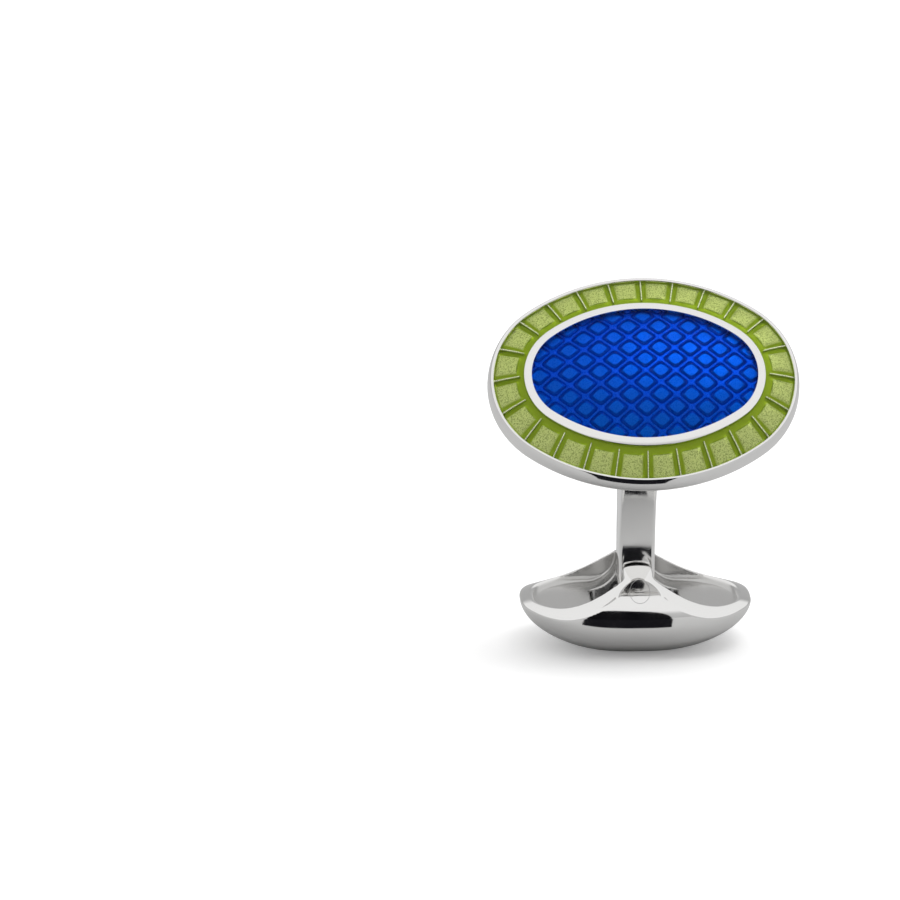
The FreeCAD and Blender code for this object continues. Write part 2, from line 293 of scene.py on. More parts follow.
def tile_relief(share, inset):
    """Height of the pads and ridges over the floor of the green recess."""
    pitch = 2 * lozenge_half_x
    part = share * tiles % 1
    aside = np.minimum(part, 1 - part) * pitch
    across = np.clip((aside - pad_margin) / pad_slope, 0, 1)
    along = np.clip(min(inset - pad_outer, pad_inner - inset) / pad_slope, 0, 1)
    pad = pad_rise * np.minimum(across, along)
    narrow = np.clip((ridge_foot - aside) / (ridge_foot - ridge_half), 0, 1)
    ridge = ridge_rise * narrow * np.clip((ridge_inner + ridge_foot - inset) / ridge_foot, 0, 1)
    return np.maximum(pad, ridge)


def rim_profile():
    """The rim's bead from its seat at the back to the inner edge, as inset and height."""
    points = [(back_inset, back_seat - rim_depth), (back_inset, -rim_depth)]
    for angle in np.linspace(90, 0, 13):
        turn = math.radians(angle)
        points.append((rim_back_inset * (1 - math.cos(turn)),
                       rim_waist - (rim_depth + rim_waist) * math.sin(turn)))
    for angle in np.linspace(0, 90, 13)[1:]:
        turn = math.radians(angle)
        points.append((rim_crest_inset * (1 - math.cos(turn)),
                       rim_waist + (rim_crest - rim_waist) * math.sin(turn)))
    for angle in np.linspace(90, 0, 7)[1:]:
        turn = math.radians(angle)
        points.append((rim_crest_inset + (rim_width - rim_crest_inset) * math.cos(turn),
                       rim_crest * math.sin(turn)))
    return points


def build_face_shell(material, ground):
    """Plate with its rounded rim and the tiled floor of the green recess."""
    shares = tile_shares()
    stations = oval_stations(shares)
    rings = [with_height(oval_ring(stations, inset), height) for inset, height in rim_profile()]
    rim_rings = len(rings)
    marks = [rim_width + 0.01, rim_width + rim_fillet / 2, pad_outer, pad_outer + pad_slope, 1.0, 1.4,
             pad_inner - pad_slope, pad_inner, ridge_inner, ridge_inner + ridge_foot,
             ring_inset, ring_inset + ring_width / 2]
    for inset in marks:
        lift = rim_fillet * max(0, 1 - (inset - rim_width) / rim_fillet)
        height = slope(inset) - green_depth + np.maximum(tile_relief(shares, inset), lift)
        rings.append(with_height(oval_ring(stations, inset), height))
    points = np.concatenate(rings)
    faces = tube_faces(len(rings), len(shares))
    piece = make_piece("face_shell", points, faces, material, "head", face_place())
    piece.data.materials.append(ground)
    for polygon in piece.data.polygons:
        polygon.material_index = int(min(polygon.vertices) >= (rim_rings - 1) * len(shares))
    # Painted shade of the tiled ground: share 1 on the pads and ridges, 0 on the deep floor round them,
    # which the ground's material darkens.
    tone = [0] * (rim_rings * len(shares))
    for inset in marks:
        tone += list(np.clip(tile_relief(shares, inset) / pad_rise, 0, 1))
    set_tone(piece, tone)
    sharpen(piece, 50)
    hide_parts("face_plate")


def build_green_glass(material):
    """Green enamel as one ring of glass, sunk a little into the silver at its edges."""
    stations = oval_stations(even_shares(oval_steps))
    top = np.linspace(rim_width - bury, ring_inset + bury, 15)
    rings = [with_height(oval_ring(stations, inset), slope(inset)) for inset in top]
    for inset in [top[-1], top[0]]:
        rings.append(with_height(oval_ring(stations, inset), slope(inset) - green_depth - green_under))
    points = np.concatenate(rings)
    faces = tube_faces(len(rings), oval_steps, True)
    piece = make_piece("green_glass", points, faces, material, "head", face_place())
    sharpen(piece, 40)
    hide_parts("green_enamel")


def build_ring_band(material):
    """Silver band between the enamels, with softened edges."""
    stations = oval_stations(even_shares(oval_steps))
    profile = [(0, -ring_foot), (0, ring_lip - ring_edge)]
    for angle in np.linspace(0, 90, 6)[1:]:
        turn = math.radians(angle)
        profile.append((ring_edge * (1 - math.cos(turn)), ring_lip - ring_edge * (1 - math.sin(turn))))
    profile.append((ring_width / 2, ring_lip + ring_crown))
    profile += [(ring_width - inset, height) for inset, height in reversed(profile[:-1])]
    rings = []
    for inset, height in profile:
        flat = oval_ring(stations, ring_inset + inset)
        rings.append(with_height(flat, dome(flat) + height))
    faces = tube_faces(len(rings), oval_steps, True)
    piece = make_piece("ring_band", np.concatenate(rings), faces, material, "head", face_place())
    sharpen(piece, 50)
    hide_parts("dividing_ring")


def build_blue_glass(material):
    """Blue enamel as one dome of glass, sunk a little into the ring."""
    edge = oval_ring(oval_stations(even_shares(panel_steps)), ring_inset + ring_width - bury)
    shares = np.linspace(1, 0.02, 26)
    rings = [with_height(edge * share, dome(edge * share) - blue_depth) for share in reversed(shares)]
    rings += [with_height(edge * share, dome(edge * share)) for share in shares]
    points = np.concatenate(rings)
    faces = tube_faces(len(rings), panel_steps) + end_caps(len(rings), panel_steps)
    piece = make_piece("blue_glass", points, faces, material, "head", face_place())
    sharpen(piece, 40)
    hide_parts("blue_enamel")


def lozenge_away(across, along):
    """How far a place is from the middle of its cell: 0 in the middle, 0.5 half way to the next."""
    return (np.abs(across) ** lozenge_corner
            + np.abs(along) ** lozenge_corner) ** (1 / lozenge_corner)


def lozenge_relief(away):
    """Height of a lozenge and its moat over the lattice."""
    return np.interp(away, [0.30, 0.34, 0.39, 0.41, 0.43, 0.46],
                     [lozenge_rise, pad_edge, 0, -moat_drop, -moat_drop, 0])


def lozenge_painted_shade(away):
    """Brightness painted on the cut as shade of the relief: bright lozenge, dark outline down in the moat
    as painted shade, half-bright lattice.
    """
    return np.interp(away, [0.29, 0.34, 0.385, 0.405, 0.43, 0.455],
                     [0.66, 0.72, 0.70, 0.48, 0.48, 0.82])


def build_lozenge_ground(material):
    """Engraved ground of the blue panel, on a grid that runs along the lozenges' sides."""
    marks = [0.12, 0.22, 0.27, 0.30, 0.325, 0.35, 0.38, 0.395, 0.41, 0.43, 0.445, 0.46]
    marks = [-0.5] + [-mark for mark in reversed(marks)] + [0] + marks
    rows = range(-lozenge_reach, lozenge_reach + 1)
    line = np.array([row + mark for row in rows for mark in marks])
    across, along = np.meshgrid(line, line, indexing="ij")
    flat = np.stack([(across + along) * lozenge_half_x, (across - along) * lozenge_half_y], -1)
    flat[..., 0] += lozenge_half_x
    stations = oval_stations(even_shares(edge_steps))
    edge = oval_ring(stations, ring_inset + ring_width - ground_bury)
    turn = np.arctan2(edge[:, 1], edge[:, 0])
    order = np.argsort(turn)
    limit = np.interp(np.arctan2(flat[..., 1], flat[..., 0]), turn[order],
                      np.hypot(edge[order, 0], edge[order, 1]), period=2 * math.pi)
    kept = np.hypot(flat[..., 0], flat[..., 1]) < limit
    cells = kept[:-1, :-1] & kept[1:, :-1] & kept[1:, 1:] & kept[:-1, 1:]
    number = np.full(kept.shape, -1)
    used = np.zeros(kept.shape, bool)
    for shift_a, shift_b in [(0, 0), (1, 0), (1, 1), (0, 1)]:
        used[shift_a:used.shape[0] - 1 + shift_a, shift_b:used.shape[1] - 1 + shift_b] |= cells
    number[used] = np.arange(used.sum())
    spots = flat[used]
    away = lozenge_away(*[np.mod(values[used] + 0.5, 1) - 0.5 for values in (across, along)])
    height = dome(spots) - lattice_depth + lozenge_relief(away)
    first, second = np.nonzero(cells)
    faces = np.stack([number[first, second], number[first, second + 1],
                      number[first + 1, second + 1], number[first + 1, second]], 1).tolist()
    piece = make_piece("lozenge_ground", with_height(spots, height), faces, material, "head",
                       face_place())
    set_tone(piece, lozenge_painted_shade(away))
    sharpen(piece, 35)


def build_back_cover(material):
    """Plate that closes the back, gently domed, with a flat for the stem."""
    stations = oval_stations(even_shares(panel_steps))
    rings = [with_height(oval_ring(stations, back_inset), cover_seat - rim_depth)]
    for share in np.linspace(0, 1, 14):
        height = -rim_depth - back_bulge * math.sin(math.pi / 2 * share)
        rings.append(with_height(oval_ring(stations, back_inset + back_slope * share), height))
    last = rings[-1]
    for share in [0.75, 0.5, 0.25, 0.05]:
        rings.append(last * [share, share, 1])
    rings.reverse()
    faces = tube_faces(len(rings), panel_steps) + end_caps(len(rings), panel_steps)[:1]
    piece = make_piece("back_cover", np.concatenate(rings), faces, material, "head", face_place())
    sharpen(piece, 40)
    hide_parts("back_plate")


def arc_upwards(start, end, count):
    """Points on the arc that leaves start straight up and ends at end, in the YZ plane."""
    chord = (end[0] - start[0], end[1] - start[1])
    radius = (chord[0] ** 2 + chord[1] ** 2) / (-2 * chord[0])
    middle = start[0] - radius
    turn = np.linspace(0, math.atan2(end[1] - start[1], end[0] - middle), count)
    return np.stack([middle + radius * np.cos(turn), start[1] + radius * np.sin(turn)], 1)


def rounded_section(front, back, half, edge):
    """Rounded oblong between a front and a back point, as thick as the stem."""
    front, back = np.array(front), np.array(back)
    along = back - front
    length = np.hypot(*along)
    along = along / length
    points = []
    for side_x, side_y, start in [(1, 1, 0), (-1, 1, 90), (-1, -1, 180), (1, -1, 270)]:
        for angle in np.radians(np.linspace(start, start + 90, 7)):
            x = side_x * (half - edge) + edge * math.cos(angle)
            reach = length / 2 + side_y * (length / 2 - edge) + edge * math.sin(angle)
            spot = front + along * reach
            points.append((x, spot[0], spot[1]))
    return np.array(points)


def build_horn_stem(material):
    """Flat horn from the square end at the pin to its seat on the back plate."""
    out = np.array([-math.sin(face_tilt), math.cos(face_tilt)])
    up = np.array([math.cos(face_tilt), math.sin(face_tilt)])
    seat = np.array([face_middle.y, face_middle.z]) - out * (rim_depth + back_bulge - stem_bury)
    back = arc_upwards((stem_back, stem_foot), seat + up * stem_top_back, stem_steps)
    rise = arc_upwards((-stem_front, pin_height), seat - up * stem_top_front, 400)
    front = np.concatenate([[(-stem_front, stem_foot)], rise])
    length = np.concatenate([[0], np.cumsum(np.hypot(*np.diff(front, axis=0).T))])
    even = np.linspace(0, length[-1], stem_steps)
    front = np.stack([np.interp(even, length, front[:, 0]), np.interp(even, length, front[:, 1])], 1)
    rings = []
    for angle in np.radians(np.linspace(90, 10, 6)):
        drop = stem_end_round * (1 - math.sin(angle))
        half = stem_half - stem_end_round * (1 - math.cos(angle))
        height = stem_foot + drop
        rings.append(rounded_section((-stem_front, height), (stem_back, height), half, stem_edge / 2))
    keep = back[:, 1] > stem_foot + stem_end_round
    for number in np.nonzero(keep)[0]:
        rings.append(rounded_section(front[number], back[number], stem_half, stem_edge))
    around = len(rings[0])
    faces = tube_faces(len(rings), around) + end_caps(len(rings), around)
    piece = make_piece("horn_stem", np.concatenate(rings), faces, material, "head")
    sharpen(piece, 50)
    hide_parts("stem")


def round_meet(first, second, radius):
    """Overlap of two forms given by their distances, with a rounded edge."""
    corner = np.hypot(np.maximum(first + radius, 0), np.maximum(second + radius, 0))
    return np.minimum(np.maximum(first, second), -radius) + corner


def plan_reach(x, y, reach_x, reach_y):
    """1 on the toggle's squarish oval as seen from above, less inside it."""
    return ((np.abs(x) / reach_x) ** plan_power + (np.abs(y) / reach_y) ** plan_power) ** (1 / plan_power)


def hull_share(z, middle, crown, fullness):
    """Share of its full width that the hull has at a height: a bowl below, a crown above."""
    depth = middle / (1 - foot_share ** fullness) ** (1 / fullness)
    fall = np.clip((middle - z) / depth, 0, 0.995)
    climb = np.clip((z - middle) / crown, 0, 0.97)
    return np.where(z < middle, (1 - fall ** fullness) ** (1 / fullness), np.sqrt(1 - climb ** 2))


def hull_reach(z):
    """How far the toggle's outer form reaches along X and along Y at a height."""
    reach_x = toggle_half_x * hull_share(z, hull_middle_x, hull_crown_x, hull_fullness_x)
    reach_y = toggle_half_y * hull_share(z, hull_middle_y, hull_crown_y, hull_fullness_y)
    return reach_x, reach_y


def hull_level(points):
    """Below zero inside the toggle's outer form, before its top is cut."""
    x, y, z = points.T
    return plan_reach(x, y, *hull_reach(z)) - 1


def as_distance(level, points):
    """A level turned into a distance in millimetres close to its surface."""
    value = level(points)
    step = 0.002
    grade = np.stack([level(points + step * axis) - value for axis in np.eye(3)], 1) / step
    return value / np.maximum(np.linalg.norm(grade, axis=1), 1e-6)


def saddle_gap(x, z):
    """Distance over the line that the toggle's rim follows: low ends, a hump between."""
    turn_sum = hump_round + flank_round
    drop = hump_top - rim_end_height
    level = math.sqrt(turn_sum ** 2 - (turn_sum - drop) ** 2)
    meet = level * hump_round / turn_sum
    x = np.abs(x)
    hump = np.hypot(x, z - (hump_top - hump_round)) - hump_round
    flank = flank_round - np.hypot(x - level, z - (rim_end_height + flank_round))
    side = np.where(z > rim_end_height + flank_round, z - rim_end_height, flank)
    return np.where(x < meet, np.where(z > hump_top - hump_round, hump, z - hump_top),
                    np.where(x < level, side, z - rim_end_height))


def eased(value, start, end):
    """0 up to the start, 1 from the end on, with a soft passage between."""
    share = np.clip((value - start) / (end - start), 0, 1)
    return share * share * (3 - 2 * share)


def bevel_drop(x):
    """How far the rim's bevel falls: less on the hump and at the two ends."""
    x = np.abs(x)
    return (hump_bevel_drop + (rim_bevel_drop - hump_bevel_drop) * eased(x, 0, hump_round)
            - (rim_bevel_drop - end_bevel_drop) * eased(x, 0.55 * toggle_half_x, toggle_half_x))


def plan_level(points):
    """Below zero inside the wall of the dish, which leans outwards up to the rim."""
    x, y, z = points.T
    reach_x, reach_y = hull_reach(rim_end_height)
    inset = toggle_rim - wall_lean * (np.minimum(z, rim_end_height) - rim_end_height)
    return plan_reach(x, y, reach_x - inset, reach_y - inset) - 1


def toggle_outside(points):
    """Distance outside the toggle without its hollows: a boat hull under a saddle rim."""
    x, y, z = points.T
    hull = as_distance(hull_level, points)
    saddle = saddle_gap(x, z)
    drop = bevel_drop(x)
    bevel = rim_bevel_width * saddle + drop * (hull + rim_bevel_width)
    bevel = bevel / np.hypot(rim_bevel_width, drop)
    outer = round_meet(hull, round_meet(saddle, bevel, rim_top_round), rim_edge)
    return round_meet(outer, -z, foot_edge)


def toggle_form(points):
    """Distance outside the toggle: its outer form less a dish, with a bridge in it, and a slot."""
    x, y, z = points.T
    outer = toggle_outside(points)
    side = toggle_half_y - toggle_rim
    lean = np.array([hump_top - knee_height, side - crest_half_width])
    lean = lean / np.hypot(*lean)
    leaning = lean[0] * (np.abs(y) - side) + lean[1] * (z - knee_height)
    upright = round_meet(np.abs(y) - side, leaning, knee_round)
    wall = round_meet(as_distance(plan_level, points), upright, wall_corner)
    flank = round_meet(bridge_half - np.abs(x), dish_floor - z, bridge_sweep)
    dish = round_meet(wall, flank, dish_round)
    body = round_meet(outer, -dish, rim_inner_round)
    slot = round_meet(np.abs(x) - slot_half_length, np.abs(y) - slot_half_width, slot_corner)
    slot = round_meet(slot, slot_floor - z, slot_floor_round)
    return round_meet(body, -slot, slot_edge)


def surface_net(form, low, high, step):
    """Points and quads of the surface where a form is zero, from a grid of samples."""
    axes = [np.arange(a, b + step, step) for a, b in zip(low, high)]
    grid = np.stack(np.meshgrid(*axes, indexing="ij"), -1)
    inside = (form(grid.reshape(-1, 3)) < 0).reshape(grid.shape[:3])
    sizes = [size - 1 for size in inside.shape]
    count = np.zeros(sizes, int)
    for corner in np.ndindex(2, 2, 2):
        count += inside[tuple(slice(c, c + size) for c, size in zip(corner, sizes))]
    crossed = (count > 0) & (count < 8)
    number = np.full(crossed.shape, -1)
    number[crossed] = np.arange(crossed.sum())
    points = (np.argwhere(crossed) + 0.5) * step + np.array(low)
    faces = []
    for axis in range(3):
        first = np.eye(3, dtype=int)[(axis + 1) % 3]
        second = np.eye(3, dtype=int)[(axis + 2) % 3]
        lower = np.take(inside, range(inside.shape[axis] - 1), axis)
        upper = np.take(inside, range(1, inside.shape[axis]), axis)
        spots = np.argwhere(lower != upper)
        cells = [spots, spots - first, spots - first - second, spots - second]
        quads = np.stack([number[tuple(cell.T)] for cell in cells], 1)
        outwards = lower[tuple(spots.T)]
        faces.append(np.where(outwards[:, None], quads, quads[:, ::-1]))
    return points, np.concatenate(faces)


def grade_of(form, points, step=0.004):
    """How a form's distance changes along each axis."""
    changes = [form(points + step * axis) - form(points - step * axis) for axis in np.eye(3)]
    return np.stack(changes, 1) / (2 * step)


def drawn_to(form, points, reach):
    """Points moved on to the surface of a form, by at most reach each time."""
    for _ in range(4):
        grade = grade_of(form, points)
        shift = grade * (form(points) / np.maximum((grade ** 2).sum(1), 0.05))[:, None]
        size = np.maximum(np.linalg.norm(shift, axis=1), 1e-9)
        points = points - shift * np.minimum(1, reach / size)[:, None]
    return points


def evened(points, faces):
    """Each point moved half way to the middle of its neighbours."""
    total = np.zeros_like(points)
    share = np.zeros(len(points))
    for here, there in [(0, 1), (1, 2), (2, 3), (3, 0)]:
        np.add.at(total, faces[:, here], points[faces[:, there]])
        np.add.at(total, faces[:, there], points[faces[:, here]])
        np.add.at(share, faces[:, here], 1)
        np.add.at(share, faces[:, there], 1)
    return (points + total / share[:, None]) / 2


def build_toggle_shell(material):
    """Polished toggle: its form is sampled on a grid and the points are drawn on to it."""
    margin = 2.5 * net_step
    low = (-toggle_half_x - margin, -toggle_half_y - margin, -margin)
    high = (toggle_half_x + margin, toggle_half_y + margin, hump_top + margin)
    points, faces = surface_net(toggle_form, low, high, net_step)
    for _ in range(3):
        points = drawn_to(toggle_form, points, net_step)
        points = evened(points, faces)
    points = drawn_to(toggle_form, points, net_step)
    piece = make_piece("toggle_shell", points, faces.tolist(), material, "toggle")
    # Share 1 deep inside the dish and the slot: satin there, and a darker colour as painted shade.
    set_tone(piece, eased(-toggle_outside(points), satin_and_shade_start, satin_and_shade_full))
    normals = grade_of(toggle_form, points)
    normals /= np.linalg.norm(normals, axis=1)[:, None]
    piece.data.normals_split_custom_set_from_vertices(normals)
    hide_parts("toggle_body")


def build_rivet_pin(material, seam):
    """Pin through the humps, its spread ends polished to the hull with a fine seam round them."""
    around = pin_steps
    angles = np.radians(np.arange(around) * 360 / around)
    circle = np.stack([np.cos(angles), np.sin(angles)], 1)
    radii = [0.03, 0.2, 0.4, 0.58, pin_end_radius - pin_seam, pin_end_radius]
    profile = [(radius, pin_proud) for radius in radii] + [(pin_end_radius, -pin_end_depth)]
    rings = []
    for side in (-1, 1):
        ends = []
        for radius, proud in profile:
            spot = circle * radius
            reach_x, reach_y = hull_reach(spot[:, 1] + pin_height)
            bow = (1 - (np.abs(spot[:, 0]) / reach_x) ** plan_power) ** (1 / plan_power)
            depth = reach_y * bow + proud
            ends.append(np.stack([spot[:, 0], side * depth, spot[:, 1] + pin_height], 1))
        shank = circle * pin_radius
        inner = side * (slot_half_width + pin_slot_gap)
        ends.append(np.stack([shank[:, 0], np.full(around, inner), shank[:, 1] + pin_height], 1))
        rings += ends if side < 0 else ends[::-1]
    faces = tube_faces(len(rings), around) + end_caps(len(rings), around)
    faces = [face[::-1] for face in faces]
    piece = make_piece("rivet_pin", np.concatenate(rings), faces, material, "toggle")
    piece.data.materials.append(seam)
    # The seam faces get the darker silver, painted shade in the joint.
    seam_ring = len(profile) - 3
    for ring in (seam_ring, len(rings) - 2 - seam_ring):
        for polygon in piece.data.polygons[ring * around:(ring + 1) * around]:
            polygon.material_index = 1
    sharpen(piece, 60)
    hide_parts("hinge_pin")


def new_material(name):
    """An empty material with its shader at hand."""
    material = bpy.data.materials.new(name)
    material.use_nodes = True
    tree = material.node_tree
    shader = tree.nodes["Principled BSDF"]
    return material, tree, shader


def polish_group():
    """Hand polish: soft patches in the gloss and a faint waviness of the surface."""
    group = bpy.data.node_groups.new("polish", "ShaderNodeTree")
    group.interface.new_socket("Low", in_out="INPUT", socket_type="NodeSocketFloat")
    group.interface.new_socket("High", in_out="INPUT", socket_type="NodeSocketFloat")
    group.interface.new_socket("Size", in_out="INPUT", socket_type="NodeSocketFloat")
    group.interface.new_socket("Roughness", in_out="OUTPUT", socket_type="NodeSocketFloat")
    group.interface.new_socket("Height", in_out="OUTPUT", socket_type="NodeSocketFloat")
    nodes, links = group.nodes, group.links
    given = nodes.new("NodeGroupInput")
    result = nodes.new("NodeGroupOutput")
    place = nodes.new("ShaderNodeTexCoord")
    patches = nodes.new("ShaderNodeTexNoise")
    patches.inputs["Detail"].default_value = 4
    spread = nodes.new("ShaderNodeMapRange")
    spread.inputs["From Min"].default_value = 0.3
    spread.inputs["From Max"].default_value = 0.7
    links.new(place.outputs["Object"], patches.inputs["Vector"])
    links.new(given.outputs["Size"], patches.inputs["Scale"])
    links.new(patches.outputs["Fac"], spread.inputs["Value"])
    links.new(given.outputs["Low"], spread.inputs["To Min"])
    links.new(given.outputs["High"], spread.inputs["To Max"])
    links.new(spread.outputs["Result"], result.inputs["Roughness"])
    links.new(patches.outputs["Fac"], result.inputs["Height"])
    return group


def polish_node(tree, polish, low, high, size):
    """The shared polish between two roughness values, in patches of a size."""
    gloss = tree.nodes.new("ShaderNodeGroup")
    gloss.node_tree = polish
    gloss.inputs["Low"].default_value = low
    gloss.inputs["High"].default_value = high
    gloss.inputs["Size"].default_value = size
    return gloss


def blend_colours(tree, share, first, second):
    """From one colour to another by a share that another node gives."""
    blend = tree.nodes.new("ShaderNodeMix")
    blend.data_type = "RGBA"
    blend.inputs["A"].default_value = (*first, 1)
    blend.inputs["B"].default_value = (*second, 1)
    tree.links.new(share, blend.inputs["Factor"])
    return blend.outputs["Result"]


def bare_metal(name, polish, colour, gloss_values):
    """Metal of one colour with the shared polish."""
    material, tree, shader = new_material(name)
    shader.inputs["Base Color"].default_value = (*colour, 1)
    shader.inputs["Metallic"].default_value = 1
    gloss = polish_node(tree, polish, *gloss_values)
    tree.links.new(gloss.outputs["Roughness"], shader.inputs["Roughness"])
    return material


def toggle_silver(polish):
    """Bright polish outside, a softer satin inside the dish and the slot, where the colour is also darker
    as painted shade.
    """
    material, tree, shader = new_material("toggle_silver")
    shader.inputs["Metallic"].default_value = 1
    gloss = polish_node(tree, polish, *silver_gloss)
    hollow = tree.nodes.new("ShaderNodeAttribute")
    hollow.attribute_name = "tone"
    shade = blend_colours(tree, hollow.outputs["Fac"], silver_colour, hollow_shade_colour)
    satin = tree.nodes.new("ShaderNodeMix")
    satin.inputs["B"].default_value = 0.26
    tree.links.new(hollow.outputs["Fac"], satin.inputs["Factor"])
    tree.links.new(gloss.outputs["Roughness"], satin.inputs["A"])
    tree.links.new(satin.outputs["Result"], shader.inputs["Roughness"])
    tree.links.new(shade, shader.inputs["Base Color"])
    return material


def engraved_silver(name, dark, speck, metallic, polish):
    """Stippled ground under the enamel, with painted shade: darker where the engraving is cut deep."""
    material, tree, shader = new_material(name)
    shader.inputs["Metallic"].default_value = metallic
    place = tree.nodes.new("ShaderNodeTexCoord")
    stipple = tree.nodes.new("ShaderNodeTexNoise")
    stipple.inputs["Scale"].default_value = 13500
    stipple.inputs["Detail"].default_value = 3
    shade = tree.nodes.new("ShaderNodeValToRGB")
    shade.color_ramp.elements[0].position = 0.40
    shade.color_ramp.elements[0].color = (speck, speck, speck, 1)
    shade.color_ramp.elements[1].position = 0.52
    shade.color_ramp.elements[1].color = (1.0, 0.99, 0.97, 1)
    tone = tree.nodes.new("ShaderNodeAttribute")
    tone.attribute_name = "tone"
    cut = blend_colours(tree, tone.outputs["Fac"], dark, (1, 1, 1))
    mixed = tree.nodes.new("ShaderNodeMix")
    mixed.data_type = "RGBA"
    mixed.blend_type = "MULTIPLY"
    dents = tree.nodes.new("ShaderNodeBump")
    dents.inputs["Strength"].default_value = 0.5
    dents.inputs["Distance"].default_value = 0.00002
    gloss = polish_node(tree, polish, 0.32, 0.48, 3000)
    tree.links.new(place.outputs["Object"], stipple.inputs["Vector"])
    tree.links.new(stipple.outputs["Fac"], shade.inputs["Fac"])
    tree.links.new(stipple.outputs["Fac"], dents.inputs["Height"])
    tree.links.new(tone.outputs["Fac"], mixed.inputs["Factor"])
    tree.links.new(cut, mixed.inputs["A"])
    tree.links.new(shade.outputs["Color"], mixed.inputs["B"])
    tree.links.new(mixed.outputs["Result"], shader.inputs["Base Color"])
    tree.links.new(gloss.outputs["Roughness"], shader.inputs["Roughness"])
    tree.links.new(dents.outputs["Normal"], shader.inputs["Normal"])
    return material


def enamel_glass(name, taken, polish):
    """Clear coloured glass: it takes so much red, green and blue for each metre of depth."""
    material, tree, shader = new_material(name)
    shader.inputs["Base Color"].default_value = (1, 1, 1, 1)
    shader.inputs["Transmission Weight"].default_value = 1
    shader.inputs["IOR"].default_value = 1.15
    gloss = polish_node(tree, polish, 0.01, 0.03, 700)
    waves = tree.nodes.new("ShaderNodeBump")
    waves.inputs["Strength"].default_value = 0.15
    waves.inputs["Distance"].default_value = 0.00002
    tree.links.new(gloss.outputs["Roughness"], shader.inputs["Roughness"])
    tree.links.new(gloss.outputs["Height"], waves.inputs["Height"])
    tree.links.new(waves.outputs["Normal"], shader.inputs["Normal"])
    depth = tree.nodes.new("ShaderNodeVolumeAbsorption")
    depth.inputs["Color"].default_value = [1 - share / max(taken) for share in taken] + [1]
    depth.inputs["Density"].default_value = max(taken)
    tree.links.new(depth.outputs["Volume"], tree.nodes["Material Output"].inputs["Volume"])
    return material


def pale_floor(polish):
    """White to the camera, a middle grey in reflections."""
    material, tree, shader = new_material("pale_floor")
    seen = tree.nodes.new("ShaderNodeLightPath").outputs["Is Camera Ray"]
    tint = blend_colours(tree, seen, (0.50, 0.50, 0.50), (0.95, 0.95, 0.95))
    glow = blend_colours(tree, seen, (0, 0, 0), (0.22, 0.22, 0.22))
    gloss = polish_node(tree, polish, 0.6, 0.7, 30)
    tree.links.new(tint, shader.inputs["Base Color"])
    tree.links.new(glow, shader.inputs["Emission Color"])
    shader.inputs["Emission Strength"].default_value = 1
    tree.links.new(gloss.outputs["Roughness"], shader.inputs["Roughness"])
    return material


def build_floor(material):
    """Plain floor at the toggle's foot, in metres."""
    mesh = bpy.data.meshes.new("floor")
    reach = 3.0
    corners = [(-reach, -reach, 0), (reach, -reach, 0), (reach, reach, 0), (-reach, reach, 0)]
    mesh.from_pydata(corners, [], [(0, 1, 2, 3)])
    mesh.materials.append(material)
    floor = bpy.data.objects.new("floor", mesh)
    bpy.context.scene.collection.objects.link(floor)


def soft_box(name, place, target, size, power):
    """Soft light that doesn't show in the silver."""
    light = bpy.data.lights.new(name, "AREA")
    light.shape = "RECTANGLE"
    light.size, light.size_y = size
    light.energy = power
    lamp = bpy.data.objects.new(name, light)
    lamp.location = Vector(place)
    lamp.rotation_euler = (Vector(target) - lamp.location).to_track_quat("-Z", "Y").to_euler()
    lamp.visible_glossy = False
    bpy.context.scene.collection.objects.link(lamp)


def sky_ramp(nodes, stops):
    """Grey levels of the studio from the horizon to overhead."""
    ramp = nodes.new("ShaderNodeValToRGB")
    for number, (height, bright) in enumerate(stops):
        stop = ramp.color_ramp.elements[number] if number < 2 else ramp.color_ramp.elements.new(height)
        stop.position = height
        stop.color = (bright, bright, bright, 1)
    return ramp


def black_cards(name, outlines):
    """Dark cards that only show as reflections in the silver."""
    material, tree, shader = new_material(name)
    shader.inputs["Base Color"].default_value = (0.008, 0.008, 0.010, 1)
    shader.inputs["Roughness"].default_value = 1
    shader.inputs["Specular IOR Level"].default_value = 0
    mesh = bpy.data.meshes.new(name)
    corners = [Vector(corner) * MM for outline in outlines for corner in outline]
    ends = np.cumsum([len(outline) for outline in outlines])
    faces = [tuple(range(end - len(outline), end)) for end, outline in zip(ends, outlines)]
    mesh.from_pydata(corners, [], faces)
    mesh.materials.append(material)
    card = bpy.data.objects.new(name, mesh)
    bpy.context.scene.collection.objects.link(card)
    card.visible_camera = False
    card.visible_diffuse = False
    card.visible_transmission = False
    card.visible_shadow = False


def front_outlines():
    """A dark strip on the floor before the toggle and an upright dark hill at its far end."""
    strip = [(-6.5, card_near), (3.4, card_near), (15, card_far), (-24, card_far)]
    strip = [(x, y, card_lift) for x, y in strip]
    turns = np.radians(np.arange(0, 181, 10))
    hill = [(hill_half * math.cos(turn) + hill_middle, card_far, hill_height * math.sin(turn))
            for turn in turns]
    return [strip, hill]


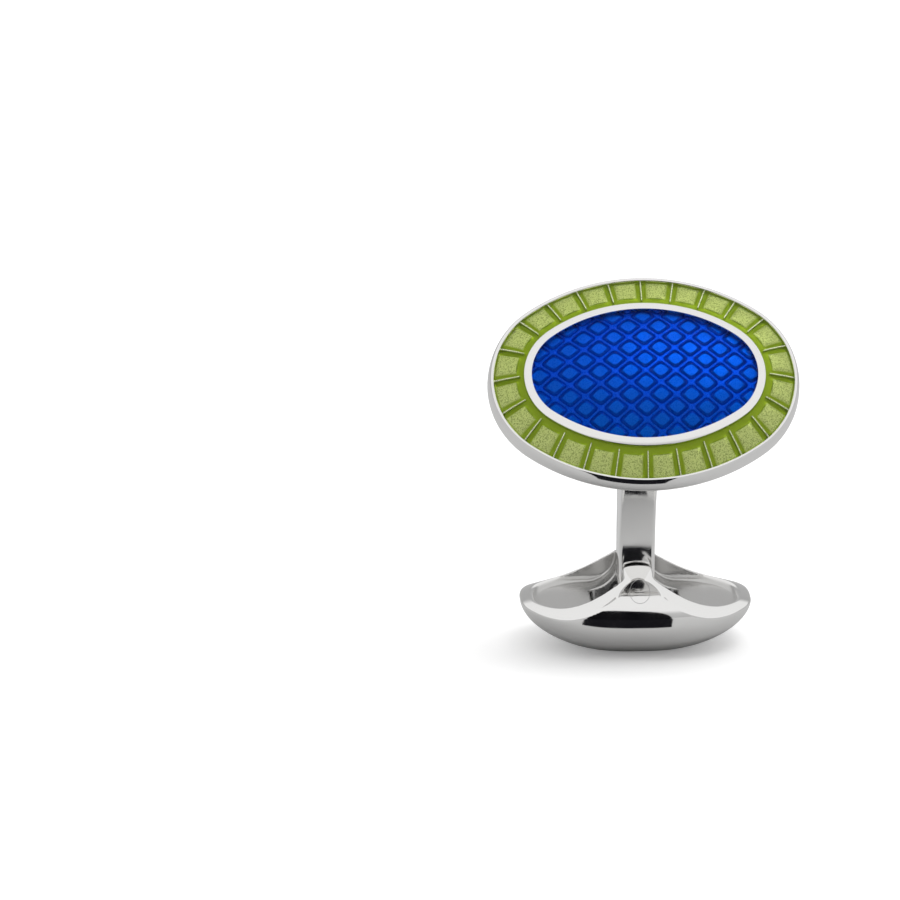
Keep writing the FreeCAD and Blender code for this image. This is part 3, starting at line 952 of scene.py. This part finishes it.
def light_studio():
    """Soft surroundings, brighter overhead, white to the camera, with one key light."""
    world = bpy.data.worlds.new("studio")
    bpy.context.scene.world = world
    world.use_nodes = True
    nodes, links = world.node_tree.nodes, world.node_tree.links
    background = nodes["Background"]
    place = nodes.new("ShaderNodeTexCoord")
    split = nodes.new("ShaderNodeSeparateXYZ")
    front = sky_ramp(nodes, front_sky)
    back = sky_ramp(nodes, back_sky)
    facing = nodes.new("ShaderNodeMapRange")
    facing.inputs["From Min"].default_value = -0.05
    facing.inputs["From Max"].default_value = 0.15
    around = nodes.new("ShaderNodeMix")
    around.data_type = "RGBA"
    rays = nodes.new("ShaderNodeLightPath")
    seen = nodes.new("ShaderNodeMix")
    seen.data_type = "RGBA"
    seen.inputs["B"].default_value = (1, 1, 1, 1)
    links.new(place.outputs["Generated"], split.inputs["Vector"])
    links.new(split.outputs["Z"], front.inputs["Fac"])
    links.new(split.outputs["Z"], back.inputs["Fac"])
    links.new(split.outputs["Y"], facing.inputs["Value"])
    links.new(facing.outputs["Result"], around.inputs["Factor"])
    links.new(front.outputs["Color"], around.inputs["A"])
    links.new(back.outputs["Color"], around.inputs["B"])
    links.new(around.outputs["Result"], seen.inputs["A"])
    links.new(rays.outputs["Is Camera Ray"], seen.inputs["Factor"])
    links.new(seen.outputs["Result"], background.inputs["Color"])
    soft_box("key_box", (0.12, -0.14, 0.50), (0, 0, 0.01), (0.3, 0.3), 1.0)


def set_camera():
    """Camera at the photograph's viewing angle, with the part where the photograph has it."""
    lift = math.radians(14.7)
    swing = math.radians(3.88)
    roll = math.radians(0.23)
    distance = 400.0
    pixels_per_mm = 15.374
    frame_size = 900.0
    sensor = 36
    part_x, part_y = 638.42, 492.4
    middle = Vector((0, -3, 11))
    right = Vector((math.cos(swing), -math.sin(swing), 0))
    up = Vector((math.sin(swing) * math.sin(lift), math.cos(swing) * math.sin(lift), math.cos(lift)))
    towards = right.cross(up)
    right, up = right * math.cos(roll) + up * math.sin(roll), up * math.cos(roll) - right * math.sin(roll)
    aim = middle - right * ((part_x - frame_size / 2) / pixels_per_mm)
    aim += up * ((part_y - frame_size / 2) / pixels_per_mm)
    spot = middle + towards * distance
    back = (spot - aim).normalized()
    side = up.cross(back).normalized()
    turn = Matrix((side, back.cross(side), back)).transposed()
    lens = bpy.data.cameras.new("camera")
    lens.sensor_width = sensor
    lens.lens = sensor * distance * pixels_per_mm / frame_size
    lens.clip_start = 0.01
    camera = bpy.data.objects.new("camera", lens)
    camera.matrix_world = Matrix.Translation(spot * MM) @ turn.to_4x4()
    bpy.context.scene.collection.objects.link(camera)
    bpy.context.scene.camera = camera


polish = polish_group()
silver = bare_metal("polished_silver", polish, silver_colour, silver_gloss)
# The dark colours given to the two engraved grounds are painted shade for the deep cuts: green-tinted
# under the green enamel, grey under the blue.
build_face_shell(silver, engraved_silver("tiled_silver", (0.54, 0.62, 0.16), 0.55, 0.4, polish))
build_lozenge_ground(engraved_silver("lozenge_silver", (0.08, 0.08, 0.08), 0.7, 1, polish))
build_green_glass(enamel_glass("green_glass", (1205, 870, 3200), polish))
build_blue_glass(enamel_glass("blue_glass", (20000, 2700, 470), polish))
build_ring_band(silver)
build_back_cover(silver)
build_horn_stem(silver)
build_toggle_shell(toggle_silver(polish))
# Painted shade: darker silver in the fine joint round the pin's ends.
build_rivet_pin(silver, bare_metal("seam_shade_silver", polish, (0.45, 0.45, 0.45), (0.3, 0.5, 3000)))
spring_steel = bare_metal("spring_steel", polish, (0.55, 0.55, 0.56), (0.12, 0.28, 2500))
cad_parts["snap_spring"].data.materials[0] = spring_steel
build_floor(pale_floor(polish))
black_cards("front_cards", front_outlines())
light_studio()
set_camera()
bpy.context.scene.view_settings.view_transform = "Standard"
